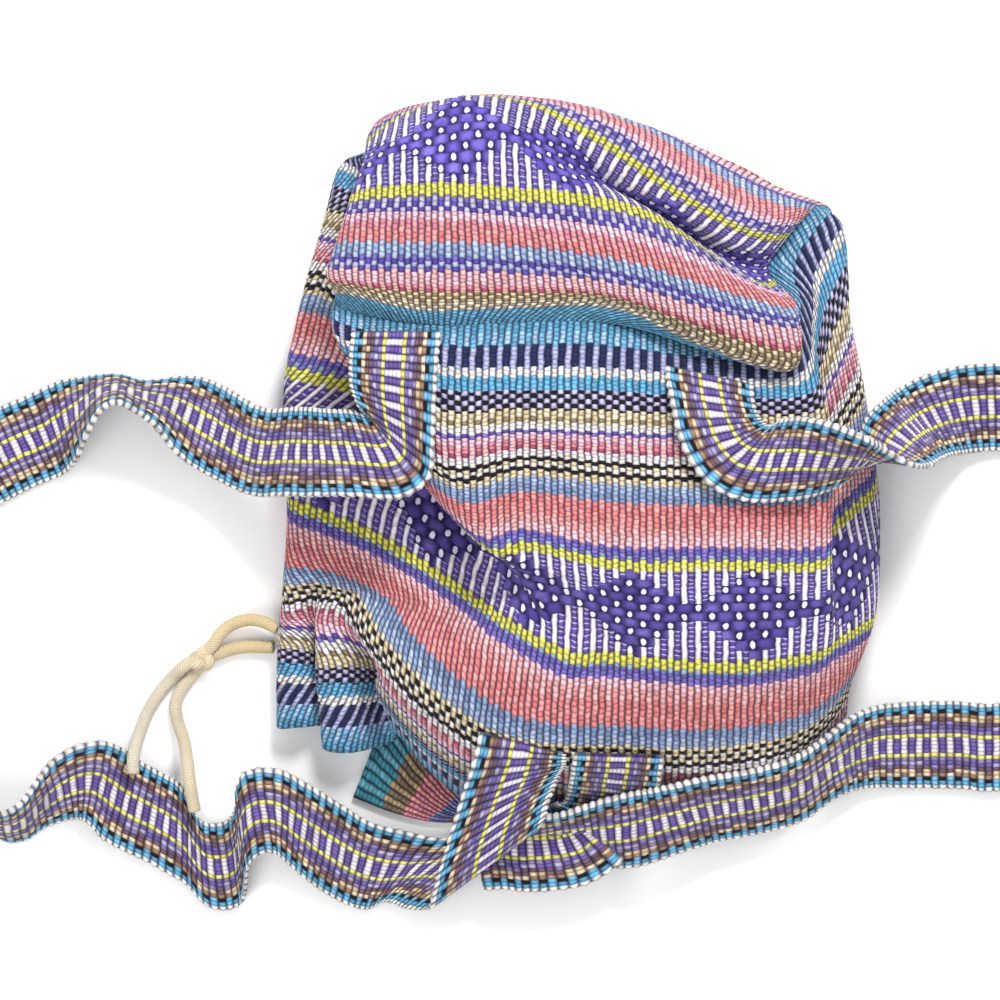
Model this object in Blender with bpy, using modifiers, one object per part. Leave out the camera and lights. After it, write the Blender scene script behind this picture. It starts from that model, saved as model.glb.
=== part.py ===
"""Hand-woven striped drawstring bag with two shoulder straps, laid on its front with the straps up.

X runs across the bag, Y from the gathered mouth to the base, Z up from the surface it lies on.
The origin is on the flat underside of the wall, below the middle of the bag.
"""
import math

import bmesh
import bpy
import numpy as np
from mathutils import Vector
from mathutils.bvhtree import BVHTree

# Driving sizes, in metres
LAID_WIDTH = 0.260
LAID_LENGTH = 0.300
LAID_HEIGHT = 0.075
CLOTH_THICKNESS = 0.0022
STRAP_WIDTH = 0.038
STRAP_THICKNESS = 0.003
FLAP_THICKNESS = 0.0022
CORD_DIAMETER = 0.0055
KNOT_LENGTH = 0.0132
KNOT_DEPTH = 0.0096
FIT_GAP = 0.0003
STRAP_REST_GAP = 0.0005

# Faces along the seams and up the wall
SEAM_FACES_WIDE = 27
SEAM_FACES_DEEP = 22
TALLEST_WALL_FACE = 23
STRAP_FACES_ACROSS = 3
STRAP_FACES_LONG = 78
FLAP_FACES = 8

# The cage points below are millimetres on a bag 260 wide, 300 long and 75 high
CAGE_WIDTH = 260
CAGE_LENGTH = 300
CAGE_HEIGHT = 75
# The part's origin is under this point of the cage, where the wall lies flat on the ground
REST_POINT = (0, 60, 0)

# Each row is one woven stripe line: its distance from the base seam, then the points on it,
# from the left side over the folded edge and the back to the right side
WALL_ROWS = [
    (0, [(-88, 124, 18), (-88, 117, 20), (-89, 109, 23), (-93, 98, 29), (-96, 79, 36),
         (-103, 67, 40), (-107, 57, 51), (-68, 49, 60), (-31, 50, 62), (6, 50, 62), (49, 43, 52),
         (82, 41, 48), (87, 60, 46), (79, 76, 42), (98, 100, 33)]),
    (20, [(-106, 121, 17), (-102, 119, 22), (-97, 115, 25), (-86, 95, 26), (-76, 84, 28),
          (-88, 57, 39), (-109, 45, 54), (-63, 31, 66), (-31, 30, 67), (6, 30, 66), (43, 27, 62),
          (91, 27, 53), (98, 52, 44), (100, 72, 37), (112, 92, 26)]),
    (43, [(-115, 93, 16), (-111, 92, 22), (-106, 89, 25), (-97, 80, 27), (-76, 58, 29),
          (-82, 41, 44), (-97, 26, 54), (-63, 6, 68), (-29, 7, 68), (6, 6, 68), (43, 5, 66),
          (100, 6, 58), (101, 20, 46), (109, 38, 40), (115, 52, 26)]),
    (71, [(-123, 64, 20), (-118, 64, 22), (-113, 62, 26), (-104, 54, 29), (-81, 32, 31),
          (-69, 15, 45), (-81, 0, 55), (-57, -20, 66), (-27, -15, 66), (6, -18, 68), (44, -20, 70),
          (101, -18, 62), (105, -7, 46), (113, 5, 38), (121, 17, 24)]),
    (104, [(-130, 32, 18), (-120, 29, 24), (-110, 27, 28), (-94, 20, 29), (-70, 0, 32),
           (-54, -14, 46), (-63, -27, 56), (-42, -47, 66), (-25, -45, 66), (13, -53, 70),
           (56, -53, 72), (101, -53, 62), (105, -40, 48), (115, -30, 40), (126, -19, 22)]),
    (126, [(-131, 0, 18), (-114, -5, 25), (-92, -13, 29), (-65, -29, 32), (-47, -42, 34),
           (-32, -51, 48), (-27, -63, 56), (-15, -66, 58), (-5, -68, 62), (23, -74, 72),
           (61, -74, 74), (101, -72, 62), (107, -66, 50), (118, -57, 40), (128, -46, 22)]),
    (149, [(-130, -28, 18), (-115, -35, 26), (-93, -44, 31), (-71, -57, 35), (-50, -71, 40),
           (-33, -83, 53), (-18, -91, 57), (-4, -97, 60), (8, -96, 64), (27, -98, 70),
           (64, -100, 72), (97, -96, 60), (109, -89, 50), (119, -84, 38), (126, -77, 22)]),
    (186, [(-132, -67, 16), (-124, -67, 22), (-118, -66, 20), (-112, -67, 26), (-103, -70, 34),
           (-93, -87, 44), (-70, -112, 50), (-46, -129, 44), (-22, -136, 46), (10, -137, 46),
           (49, -138, 46), (81, -134, 42), (99, -127, 36), (110, -115, 28), (116, -102, 18)]),
    (213, [(-134, -88, 14), (-125, -90, 20), (-115, -92, 12), (-117, -97, 22), (-103, -97, 27),
           (-89, -100, 16), (-90, -109, 30), (-64, -136, 30), (-37, -149, 25), (2, -155, 24),
           (48, -155, 24), (83, -151, 24), (102, -141, 20), (110, -130, 18), (114, -118, 13)]),
    (253, [(-135, -126, 10), (-125, -126, 15), (-113, -126, 8), (-115, -135, 14), (-103, -137, 18),
           (-86, -133, 8), (-82, -129, 18), (-68, -145, 18), (-46, -160, 16), (-2, -166, 15),
           (46, -167, 15), (83, -160, 16), (101, -149, 13), (108, -140, 14), (111, -130, 11)]),
]
# The seam along the floor, from the right corner to the left one
FAR_SEAM = [(106, 101, 8), (70, 109, 4), (35, 124, 4), (-2, 135, 4), (-42, 139, 4), (-81, 137, 5)]
# How far the wall's lowest run stands in from its two sides, and its lift over the flap
FLOOR_INSET_LEFT = 8
FLOOR_INSET_RIGHT = 6
FLAP_LIFT = 4
FLAP_LIFT_FROM_ROW = 5
FLAP_LIFT_COLUMNS = (3, 4)
# Points of the seam ring that are the four corners of the base
NEAR_LEFT = 6
NEAR_RIGHT = 11
FAR_RIGHT = 15
FAR_LEFT = 20

# The base panel's stripe lines between the near seam and the far one, from left to right
BASE_ROWS = [
    [(-103, 63, 60), (-68, 56, 64), (-31, 57, 66), (11, 57, 67), (49, 41, 67), (86, 29, 62)],
    [(-109, 71, 56), (-67, 69, 66), (-31, 68, 68), (8, 65, 70), (48, 54, 74), (88, 45, 66)],
    [(-104, 90, 56), (-67, 90, 68), (-31, 88, 70), (13, 82, 72), (51, 70, 72), (84, 60, 62)],
    [(-99, 106, 54), (-67, 109, 66), (-31, 107, 66), (3, 104, 64), (35, 93, 58), (70, 69, 56)],
    [(-95, 120, 52), (-68, 128, 62), (-37, 131, 62), (-7, 118, 56), (25, 100, 50), (66, 76, 50)],
    [(-93, 128, 45), (-63, 145, 52), (-33, 144, 58), (-4, 128, 62), (29, 106, 60), (70, 84, 57)],
    [(-92, 135, 36), (-59, 148, 42), (-20, 146, 52), (13, 134, 59), (43, 114, 59), (77, 95, 56)],
    [(-89, 140, 26), (-55, 149, 28), (-16, 147, 38), (23, 137, 42), (61, 117, 40), (85, 106, 37)],
    [(-86, 141, 14), (-48, 148, 14), (-11, 145, 20), (28, 134, 22), (66, 120, 20), (90, 108, 19)],
]

# Fields of colour: where each ends, in millimetres of wall, and its colour
WALL_FIELDS = [
    (22, (0.16, 0.40, 0.60)), (43, (0.05, 0.10, 0.22)), (60, (0.58, 0.50, 0.30)),
    (80, (0.78, 0.30, 0.36)), (104, (0.76, 0.17, 0.16)), (149, (0.16, 0.08, 0.58)),
    (173, (0.76, 0.17, 0.16)), (193, (0.58, 0.50, 0.30)), (210, (0.78, 0.30, 0.36)),
    (231, (0.05, 0.10, 0.22)), (253, (0.16, 0.40, 0.60)),
]
BASE_FIELDS = [
    (0.12, (0.16, 0.40, 0.60)), (0.33, (0.78, 0.30, 0.36)), (0.62, (0.16, 0.08, 0.58)),
    (0.88, (0.78, 0.30, 0.36)), (1.01, (0.16, 0.40, 0.60)),
]

# Strap stations, as the two edges of the strap: outer edge x, y, z, then inner edge x, y, z
STRAP_LEFT = [
    (-63, 46, 56, -101, 46, 50), (-64, 34, 60, -102, 36, 54), (-66, 16, 64, -101, 24, 58),
    (-66, -3, 66, -99, 16, 60), (-68, -18, 66, -95, 11, 60), (-78, -26, 71, -96, 11, 61),
    (-92, -25, 68, -103, 12, 58), (-109, -24, 60, -113, 12, 52), (-130, -22, 44, -126, 11, 42),
    (-145, -19, 30, -140, 8, 34), (-159, -13, 22, -152, 14, 26), (-173, -5, 20, -165, 21, 14),
    (-186, 7, 26, -181, 26, 6), (-195, 16, 36, -196, 26, 4), (-204, 24, 40, -206, 18, 4),
    (-213, 27, 34, -211, 9, 3), (-227, 25, 20, -220, -3, 3), (-243, 19, 8, -230, -14, 3),
    (-268, 8, 8, -252, -24, 3), (-296, -14, 18, -276, -38, 3), (-318, -46, 32, -302, -60, 4),
    (-322, -84, 40, -316, -86, 3), (-310, -122, 40, -310, -120, 3), (-284, -148, 40, -286, -146, 3),
    (-255, -163, 38, -255, -176, 3), (-241, -152, 34, -240, -170, 3), (-230, -138, 30, -225, -166, 4),
    (-212, -132, 19, -218, -168, 8), (-198, -138, 9, -208, -179, 4), (-184, -144, 9, -191, -187, 3),
    (-174, -151, 12, -176, -195, 3), (-168, -163, 7, -167, -200, 3), (-160, -168, 5, -158, -201, 3),
    (-151, -163, 10, -149, -198, 5), (-149, -152, 24, -147, -188, 16), (-143, -145, 32, -141, -181, 20),
    (-131, -145, 30, -133, -183, 12), (-109, -158, 22, -117, -197, 6), (-90, -169, 12, -100, -206, 3),
    (-73, -180, 6, -88, -209, 3), (-56, -188, 4, -82, -209, 4), (-46, -186, 9, -76, -210, 9),
    (-42, -181, 19, -70, -198, 17), (-33, -177, 27, -65, -181, 24), (-26, -167, 33, -59, -163, 30),
    (-18, -150, 38, -53, -146, 38), (-11, -137, 44, -45, -126, 44),
]
STRAP_RIGHT = [
    (34, 31, 60, 71, 23, 56), (35, 24, 66, 71, 17, 60), (38, 12, 72, 72, 10, 62),
    (44, -4, 75, 74, 5, 66), (55, -18, 76, 78, 4, 68), (71, -26, 75, 84, 6, 70),
    (89, -24, 71, 94, 8, 69), (105, -20, 62, 106, 3, 68), (117, -14, 53, 116, -2, 66),
    (125, -4, 38, 126, -5, 64), (128, 9, 24, 137, -9, 50), (133, 21, 16, 146, -10, 37),
    (144, 29, 8, 155, -9, 18), (161, 32, 4, 165, -5, 5),
    (182, 33, 4, 182, -4, 4), (205, 30, 8, 199, -5, 3), (228, 16, 24, 219, -7, 3),
    (242, -10, 38, 238, -14, 3), (248, -42, 41, 248, -42, 3), (244, -76, 40, 246, -78, 3),
    (228, -100, 30, 234, -118, 3), (206, -112, 14, 211, -144, 3), (182, -117, 4, 182, -153, 4),
    (164, -115, 6, 165, -153, 3), (143, -115, 10, 144, -153, 3), (123, -117, 22, 126, -153, 5),
    (108, -124, 38, 115, -156, 9), (98, -132, 42, 104, -162, 11), (89, -138, 40, 93, -168, 12),
    (71, -143, 39, 76, -173, 12), (52, -146, 42, 58, -176, 15), (34, -149, 46, 44, -181, 19),
    (18, -153, 47, 31, -189, 20), (4, -160, 44, 19, -194, 20), (-8, -167, 34, 11, -197, 18),
    (-19, -173, 22, 5, -201, 14), (-21, -177, 11, 5, -203, 8), (-14, -177, 4, 12, -198, 4),
    (-11, -173, 10, 22, -185, 6), (-10, -166, 20, 26, -173, 16), (-8, -157, 27, 28, -163, 24),
    (-6, -146, 42, 31, -149, 42), (-5, -136, 52, 33, -137, 52),
]

# Flap corners and sides, from the edge sewn to the back of the mouth to the free end
FLAP_LEFT_SIDE = [(-42, -160, 10), (-53, -166, 5), (-66, -168, 2), (-84, -164, 2), (-102, -157, 2)]
FLAP_RIGHT_SIDE = [(4, -161, 10), (-6, -154, 5), (-22, -140, 2), (-36, -80, 2), (-42, -4, 2)]

# Drawstring routes, chosen by hand
UPPER_STRAND = [(-135, -83, 9), (-141, -80, 8), (-148, -79, 7), (-155, -81, 7), (-160, -85, 8),
                (-163.5, -90, 8)]
LOWER_STRAND = [(-137, -91, 4), (-142, -91, 3), (-149, -91, 3), (-155, -92, 3), (-161.5, -94, 4)]
LEFT_TAIL = [(-175.5, -99, 7), (-181, -104, 3), (-187, -111, 3), (-192, -119, 3), (-195, -127, 6),
             (-197, -134, 12), (-198, -140, 15), (-198, -146, 15)]
RIGHT_TAIL = [(-171.5, -102, 3), (-177, -109, 3), (-180, -116, 3), (-179, -124, 3), (-176, -132, 8),
              (-174, -141, 18), (-173, -149, 21), (-172, -156, 19), (-171, -162, 17)]
KNOT_CENTRE = (-168, -96, 6)


def laid(point):
    """A cage point in millimetres, in metres on the bag as it is sized above."""
    x, y, z = point
    return np.array([x * LAID_WIDTH / CAGE_WIDTH, y * LAID_LENGTH / CAGE_LENGTH,
                     z * LAID_HEIGHT / CAGE_HEIGHT])


def curve_at(points, spot, closed=False):
    """The point at a spot, counted in whole points, on the smooth curve through points."""
    count = len(points)
    first = math.floor(spot) if closed else min(max(math.floor(spot), 0), count - 2)
    part = spot - first
    if closed:
        near = [points[(first + step) % count] for step in (-1, 0, 1, 2)]
    else:
        before = 2 * points[0] - points[1] if first == 0 else points[first - 1]
        after = 2 * points[-1] - points[-2] if first == count - 2 else points[first + 2]
        near = [before, points[first], points[first + 1], after]
    square, cube = part * part, part ** 3
    shares = (-part + 2 * square - cube, 2 - 5 * square + 3 * cube,
              part + 4 * square - 3 * cube, cube - square)
    return sum(share * point for share, point in zip(shares, near)) / 2


def curve_through(points, count):
    """Evenly counted points on the smooth open curve through the given ones."""
    points = np.array(points, float)
    return np.array([curve_at(points, spot) for spot in np.linspace(0, len(points) - 1, count)])


def material(name, colour, roughness=0.9):
    made = bpy.data.materials.new(name)
    made.use_nodes = True
    shader = made.node_tree.nodes["Principled BSDF"]
    shader.inputs["Base Color"].default_value = (*colour, 1)
    shader.inputs["Roughness"].default_value = roughness
    return made


def named_object(name, data, materials):
    part = bpy.data.objects.new(name, data)
    bag.objects.link(part)
    for finish in materials:
        data.materials.append(finish)
    return part


def add_grid(bm, points, fields):
    """A grid of faces on points, an array of rows by columns; fields names each row's colour."""
    rows, columns = len(points) - 1, len(points[0]) - 1
    made = bmesh.ops.create_grid(bm, x_segments=columns, y_segments=rows, size=0.5)
    faces = {face for vertex in made["verts"] for face in vertex.link_faces}
    for face in faces:
        row = int((face.calc_center_median().y + 0.5) * rows)
        face.material_index = fields[row]
        face.smooth = True
    for vertex in made["verts"]:
        column, row = round((vertex.co.x + 0.5) * columns), round((vertex.co.y + 0.5) * rows)
        vertex.co = points[row][column]


def thickened(name, bm, thickness, offset, materials):
    """An object of the open mesh with its wall added: offset -1 inward, 0 to both sides."""
    mesh = bpy.data.meshes.new(name)
    bm.to_mesh(mesh)
    bm.free()
    part = named_object(name, mesh, materials)
    wall = part.modifiers.new("Wall", "SOLIDIFY")
    wall.thickness = thickness
    wall.offset = offset
    return part


def wall_cage():
    """The cage of the wall, rows of points all the way round, with the run along the floor added."""
    cage = []
    for row, (drop, points) in enumerate(WALL_ROWS):
        left, right = points[0], points[-1]
        floor = []
        for column, (seam_x, seam_y, seam_z) in enumerate(FAR_SEAM):
            share = column / (len(FAR_SEAM) - 1)
            if row == 0:
                floor.append((seam_x, seam_y, seam_z))
                continue
            x = (right[0] - FLOOR_INSET_RIGHT) * (1 - share) + (left[0] + FLOOR_INSET_LEFT) * share
            over_flap = row >= FLAP_LIFT_FROM_ROW and column in FLAP_LIFT_COLUMNS
            floor.append((x, seam_y - drop, FLAP_LIFT if over_flap else 0))
        cage.append([laid(point) for point in points + floor])
    return np.array(cage)


def ring_spots():
    """Where the lines of faces stand round the seam ring, side by side of the base."""
    whole = len(WALL_ROWS[0][1]) + len(FAR_SEAM)
    corners = [NEAR_LEFT, NEAR_RIGHT, FAR_RIGHT, FAR_LEFT, NEAR_LEFT + whole]
    faces = [SEAM_FACES_WIDE, SEAM_FACES_DEEP, SEAM_FACES_WIDE, SEAM_FACES_DEEP]
    spots = []
    for start, end, count in zip(corners, corners[1:], faces):
        spots += list(np.linspace(start, end, count, endpoint=False))
    return spots + [corners[-1]]


def stripe_lines():
    """Distances from the base seam of the lines of faces: one at each change of colour, and between."""
    lines = [0.0]
    for end, colour in WALL_FIELDS:
        parts = math.ceil((end - lines[-1]) / TALLEST_WALL_FACE)
        lines += list(np.linspace(lines[-1], end, parts + 1)[1:])
    return np.array(lines)


def wall_points():
    """Points of the wall's outer side: rows from the mouth to the base seam, round by columns."""
    cage = wall_cage()
    around = [[curve_at(row, spot, closed=True) for spot in ring_spots()] for row in cage]
    drops = np.array([drop for drop, points in WALL_ROWS], float)
    lines = stripe_lines()[::-1]
    spots = np.interp(lines, drops, np.arange(len(drops)))
    around = np.array(around)
    surface = np.array([curve_at(around, spot) for spot in spots])
    surface[:, :, 2] = np.maximum(surface[:, :, 2], 0)
    return surface, lines


def base_points(ring):
    """Points of the base panel's outer side, which ends on the ring of the wall's seam."""
    wide, deep = SEAM_FACES_WIDE, SEAM_FACES_DEEP
    near = ring[:wide + 1]
    right = ring[wide:wide + deep + 1]
    far = ring[wide + deep:2 * wide + deep + 1][::-1]
    left = ring[2 * wide + deep:][::-1]
    rows = []
    for number, points in enumerate(BASE_ROWS, start=1):
        spot = number * deep / (len(BASE_ROWS) + 1)
        rows.append([curve_at(left, spot)] + [laid(point) for point in points] + [curve_at(right, spot)])
    columns = len(rows[0])
    across = np.linspace(0, wide, columns)
    rows.insert(0, [curve_at(near, spot) for spot in across])
    rows.append([curve_at(far, spot) for spot in across])
    lines = np.array([[curve_at(np.array(row), spot) for spot in np.linspace(0, columns - 1, wide + 1)]
                      for row in rows])
    panel = np.array([curve_at(lines, spot) for spot in np.linspace(0, len(lines) - 1, deep + 1)])
    to_far = np.linspace(0, 1, deep + 1)[:, None, None]
    panel += (1 - to_far) * (near - panel[0]) + to_far * (far - panel[-1])
    to_right = np.linspace(0, 1, wide + 1)[None, :, None]
    panel += (1 - to_right) * (left - panel[:, 0])[:, None] + to_right * (right - panel[:, -1])[:, None]
    return panel


def field_numbers(fields, middles):
    ends = [end for end, colour in fields]
    return [int(np.searchsorted(ends, middle)) for middle in middles]


def keep_fields(source, name, wanted, materials, setback):
    """One piece of the sewn skin: the faces whose colour field is wanted, closed along the cut seam."""
    bm = bmesh.new()
    bm.from_mesh(source)
    bm.verts.ensure_lookup_table()
    half = len(bm.verts) // 2
    twins = {bm.verts[index]: bm.verts[index + half] for index in range(half)}
    others = [face for face in bm.faces if face.material_index not in wanted]
    bmesh.ops.delete(bm, geom=others, context="FACES_KEEP_BOUNDARY")
    rim = [edge for edge in bm.edges if edge.is_boundary]
    rim_vertices = {vertex for edge in rim for vertex in edge.verts}
    crossings = {}
    for edge in rim:
        start, end = edge.verts
        if start in twins:
            across = (start.co - twins[end].co).length < (end.co - twins[start].co).length
            crossings[edge] = (1, 3) if across else (0, 2)
    moves = {}
    for vertex in rim_vertices:
        inward = [face.calc_center_median() - vertex.co for face in vertex.link_faces]
        moves[vertex] = sum(inward, Vector()).normalized() * setback
    for vertex, move in moves.items():
        vertex.co += move
    for edge, shorter in crossings.items():
        start, end = edge.verts
        corners = [start, end, twins[end], twins[start]]
        for skipped in shorter:
            triangle = [corner for number, corner in enumerate(corners) if number != skipped]
            bm.faces.new(triangle).material_index = min(wanted)
    loose = [vertex for vertex in bm.verts if not vertex.link_faces]
    bmesh.ops.delete(bm, geom=loose, context="VERTS")
    for face in bm.faces:
        face.material_index -= min(wanted)
    bmesh.ops.recalc_face_normals(bm, faces=bm.faces)
    mesh = bpy.data.meshes.new(name)
    bm.to_mesh(mesh)
    bm.free()
    return named_object(name, mesh, materials)


def make_body():
    """The wall and the base panel, thickened as one sewn skin and then parted at the seam."""
    surface, lines = wall_points()
    bm = bmesh.new()
    wall_fields = field_numbers(WALL_FIELDS, (lines[:-1] + lines[1:]) / 2)
    add_grid(bm, surface, wall_fields)
    depth = (np.arange(SEAM_FACES_DEEP) + 0.5) / SEAM_FACES_DEEP
    base_fields = [len(WALL_FIELDS) + field for field in field_numbers(BASE_FIELDS, depth)]
    add_grid(bm, base_points(surface[-1]), base_fields)
    bmesh.ops.remove_doubles(bm, verts=bm.verts, dist=FIT_GAP / 10)
    finishes = [material("wall_field_%d" % number, colour)
                for number, (end, colour) in enumerate(WALL_FIELDS)]
    finishes += [material("base_field_%d" % number, colour)
                 for number, (end, colour) in enumerate(BASE_FIELDS)]
    skin = thickened("sewn_skin", bm, CLOTH_THICKNESS, -1, finishes)
    bpy.context.view_layer.update()
    solid = bpy.data.meshes.new_from_object(skin.evaluated_get(bpy.context.evaluated_depsgraph_get()))
    wall_slots = range(len(WALL_FIELDS))
    base_slots = range(len(WALL_FIELDS), len(finishes))
    wall = keep_fields(solid, "body_wall", wall_slots, finishes[:len(WALL_FIELDS)], FIT_GAP / 2)
    keep_fields(solid, "base_panel", base_slots, finishes[len(WALL_FIELDS):], FIT_GAP)
    bpy.data.objects.remove(skin)
    return wall


def strap_edges(stations):
    """Both edges of a strap of even width, from stations that give the two edges roughly."""
    outer = np.array([laid(station[:3]) for station in stations])
    inner = np.array([laid(station[3:]) for station in stations])
    middle = curve_through((outer + inner) / 2, STRAP_FACES_LONG + 1)
    across = curve_through(outer - inner, STRAP_FACES_LONG + 1)
    ahead = np.gradient(middle, axis=0)
    ahead /= np.linalg.norm(ahead, axis=1)[:, None]
    across /= np.linalg.norm(across, axis=1)[:, None]
    slant = np.linalg.norm(np.cross(across, ahead), axis=1)[:, None]
    half = STRAP_WIDTH / 2 * across / np.maximum(slant, 0.7)
    return middle + half, middle - half


def rest_on(outer, inner, under):
    """Lifts the strap, edge by edge, where it would pass through the cloth under it."""
    tree = BVHTree.FromObject(under, bpy.context.evaluated_depsgraph_get())
    above = LAID_HEIGHT * 2
    lifts = np.zeros(len(outer))
    for index, (one, other) in enumerate(zip(outer, inner)):
        level = np.linalg.norm((one - other)[:2]) / np.linalg.norm(one - other)
        clear = STRAP_THICKNESS / 2 / max(level, 0.4) + STRAP_REST_GAP
        for share in np.linspace(-0.05, 1.05, 19):
            spot = one * (1 - share) + other * share
            hit = tree.ray_cast(Vector((spot[0], spot[1], above)), Vector((0, 0, -1)))[0]
            if hit is not None:
                lifts[index] = max(lifts[index], hit.z + clear - spot[2])
    spread = np.array([max(lifts[max(index - 1, 0):index + 2]) for index in range(len(lifts))])
    outer[:, 2] += spread
    inner[:, 2] += spread


def make_strap(name, stations, under):
    outer, inner = strap_edges(stations)
    rest_on(outer, inner, under)
    shares = np.linspace(0, 1, STRAP_FACES_ACROSS + 1)
    points = np.array([outer * (1 - share) + inner * share for share in shares])
    lowest = STRAP_THICKNESS / 2
    points[:, :, 2] = np.maximum(points[:, :, 2], lowest)
    bm = bmesh.new()
    add_grid(bm, points, [0, 1, 0])
    finishes = [material(name + "_edge", (0.16, 0.40, 0.60)), material(name + "_ladder", (0.45, 0.36, 0.60))]
    return thickened(name, bm, STRAP_THICKNESS, 0, finishes)


def make_flap():
    """The flap, drawn round the mouth and laid under the front of the wall."""
    left = curve_through([laid(point) for point in FLAP_LEFT_SIDE], FLAP_FACES + 1)
    right = curve_through([laid(point) for point in FLAP_RIGHT_SIDE], FLAP_FACES + 1)
    points = np.array([left * (1 - share) + right * share for share in np.linspace(0, 1, FLAP_FACES + 1)])
    points[:, :, 2] = np.maximum(points[:, :, 2], FLAP_THICKNESS / 2)
    bm = bmesh.new()
    add_grid(bm, points, [0] * FLAP_FACES)
    return thickened("flap", bm, FLAP_THICKNESS, 0, [material("flap_cloth", (0.20, 0.36, 0.42))])


def make_cord(name, route):
    """A length of drawstring along the smooth curve through the route's points."""
    points = [np.array(point) / 1000 for point in route]
    length = sum(np.linalg.norm(b - a) for a, b in zip(points, points[1:]))
    count = max(4, round(length / (2.2 * CORD_DIAMETER)) + 1)
    curve = bpy.data.curves.new(name, "CURVE")
    curve.dimensions = "3D"
    curve.bevel_depth = CORD_DIAMETER / 2
    curve.bevel_resolution = 2
    curve.use_fill_caps = True
    spline = curve.splines.new("POLY")
    spline.points.add(count - 1)
    for point, place in zip(spline.points, curve_through(points, count)):
        point.co = (*place, 1)
    return named_object(name, curve, [material(name + "_cotton", (0.78, 0.72, 0.56))])


def make_knot():
    """The knot that gathers both strands, a pulled-tight ball with three lobes."""
    bm = bmesh.new()
    bmesh.ops.create_uvsphere(bm, u_segments=16, v_segments=10, radius=0.5)
    for vertex in bm.verts:
        turn = math.atan2(vertex.co.z, vertex.co.y)
        lobe = 1 + 0.10 * math.cos(3 * turn + 9 * vertex.co.x) * (1 - 4 * vertex.co.x ** 2)
        vertex.co = (vertex.co.x * KNOT_LENGTH, vertex.co.y * KNOT_DEPTH * lobe,
                     vertex.co.z * KNOT_DEPTH * lobe)
    mesh = bpy.data.meshes.new("drawstring_knot")
    bm.to_mesh(mesh)
    bm.free()
    mesh.shade_smooth()
    knot = named_object("drawstring_knot", mesh, [material("knot_cotton", (0.78, 0.72, 0.56))])
    knot.location = Vector(KNOT_CENTRE) / 1000
    knot.rotation_euler = (0, 0, math.radians(35))
    return knot


for leftover in list(bpy.data.objects):
    bpy.data.objects.remove(leftover)
bag = bpy.data.collections.new("woven_drawstring_bag")
bpy.context.scene.collection.children.link(bag)

body_wall = make_body()
bpy.context.view_layer.update()
make_strap("strap_left", STRAP_LEFT, body_wall)
make_strap("strap_right", STRAP_RIGHT, body_wall)
make_flap()
make_cord("drawstring_upper", UPPER_STRAND)
make_cord("drawstring_lower", LOWER_STRAND)
make_cord("drawstring_tail_left", LEFT_TAIL)
make_cord("drawstring_tail_right", RIGHT_TAIL)
make_knot()

stand = bpy.data.objects.new("stand", None)
bag.objects.link(stand)
stand.location = -laid(REST_POINT)
for piece in bag.objects:
    if piece is not stand:
        piece.parent = stand
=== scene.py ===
"""The woven drawstring bag, dressed: striped cloth, ribbed straps and a soft cord, on a pale floor."""

import math

import bmesh
import bpy
import numpy as np
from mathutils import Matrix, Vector, noise
from mathutils.bvhtree import BVHTree


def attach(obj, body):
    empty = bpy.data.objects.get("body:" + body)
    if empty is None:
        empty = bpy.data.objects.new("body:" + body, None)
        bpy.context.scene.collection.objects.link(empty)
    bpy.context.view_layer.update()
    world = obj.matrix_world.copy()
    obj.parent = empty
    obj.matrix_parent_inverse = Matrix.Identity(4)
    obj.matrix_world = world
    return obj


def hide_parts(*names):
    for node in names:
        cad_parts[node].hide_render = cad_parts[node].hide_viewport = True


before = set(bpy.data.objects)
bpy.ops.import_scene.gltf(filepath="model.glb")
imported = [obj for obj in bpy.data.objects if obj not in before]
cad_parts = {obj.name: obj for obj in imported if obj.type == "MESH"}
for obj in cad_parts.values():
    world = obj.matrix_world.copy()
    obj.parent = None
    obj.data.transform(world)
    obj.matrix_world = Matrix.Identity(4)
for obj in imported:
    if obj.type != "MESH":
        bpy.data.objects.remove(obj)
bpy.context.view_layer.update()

MM = 0.001
# The part's origin is under this point of the shapes below
REST_POINT = (0, 60, 0)

# The camera looks straight down on a field this wide, in metres
CAMERA_HEIGHT = 2.8
CAMERA_PLACE = (-0.0374, -0.0864)
FIELD_WIDTH = 0.440
SENSOR_WIDTH = 36
FLOOR_DROP = 0.0002

# Lengths along the cloth are counted in the photograph's pixels, this many millimetres each
PIXEL = 0.44

# Cloth, in millimetres
RIB_PITCH = 2.95
PICK_PITCH = 4.4
RIB_RELIEF = 0.42
WRINKLE_RELIEF = 0.7
WRINKLE_LENGTHS = (21, 34, 26)
CLOTH_THICKNESS = 2.0
WALL_RIBS = 246
WALL_FACES_HIGH = 96
WALL_SAMPLES = 40
# Wrinkles fade out over this many rows of faces at each edge
FADED_ROWS = 6
# Columns of the cage between which the back's reference line runs
REFERENCE_COLUMNS = (9, 11)
# The ribs keep their pitch this far to each side of the reference line; the rest share what is left
EVEN_RIBS_LEFT = 82
EVEN_RIBS_RIGHT = 45
WALL_REFERENCE_X = 46
BASE_REFERENCE_X = -64
BASE_RIBS_LEFT = 24
BASE_RIBS_RIGHT = 60
BASE_FACES_DEEP = 96
BASE_SAMPLES = 24
BASE_COLUMNS = 8
SEAM_SAMPLES = 120
SIDE_SAMPLES = 100

# Straps, in millimetres
STRAP_WIDTH = 38
STRAP_THICKNESS = 2.4
STRAP_SOLID_THICKNESS = 3.0
STRAP_RIB_PITCH = 3.45
STRAP_BEAD = 1.75
STRAP_RIB_RELIEF = 0.32
STRAP_FACES_ACROSS = 20
STRAP_STATIONS = 79
STRAP_SAMPLES = 2000
STRAP_REST_GAP = 0.5
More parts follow.
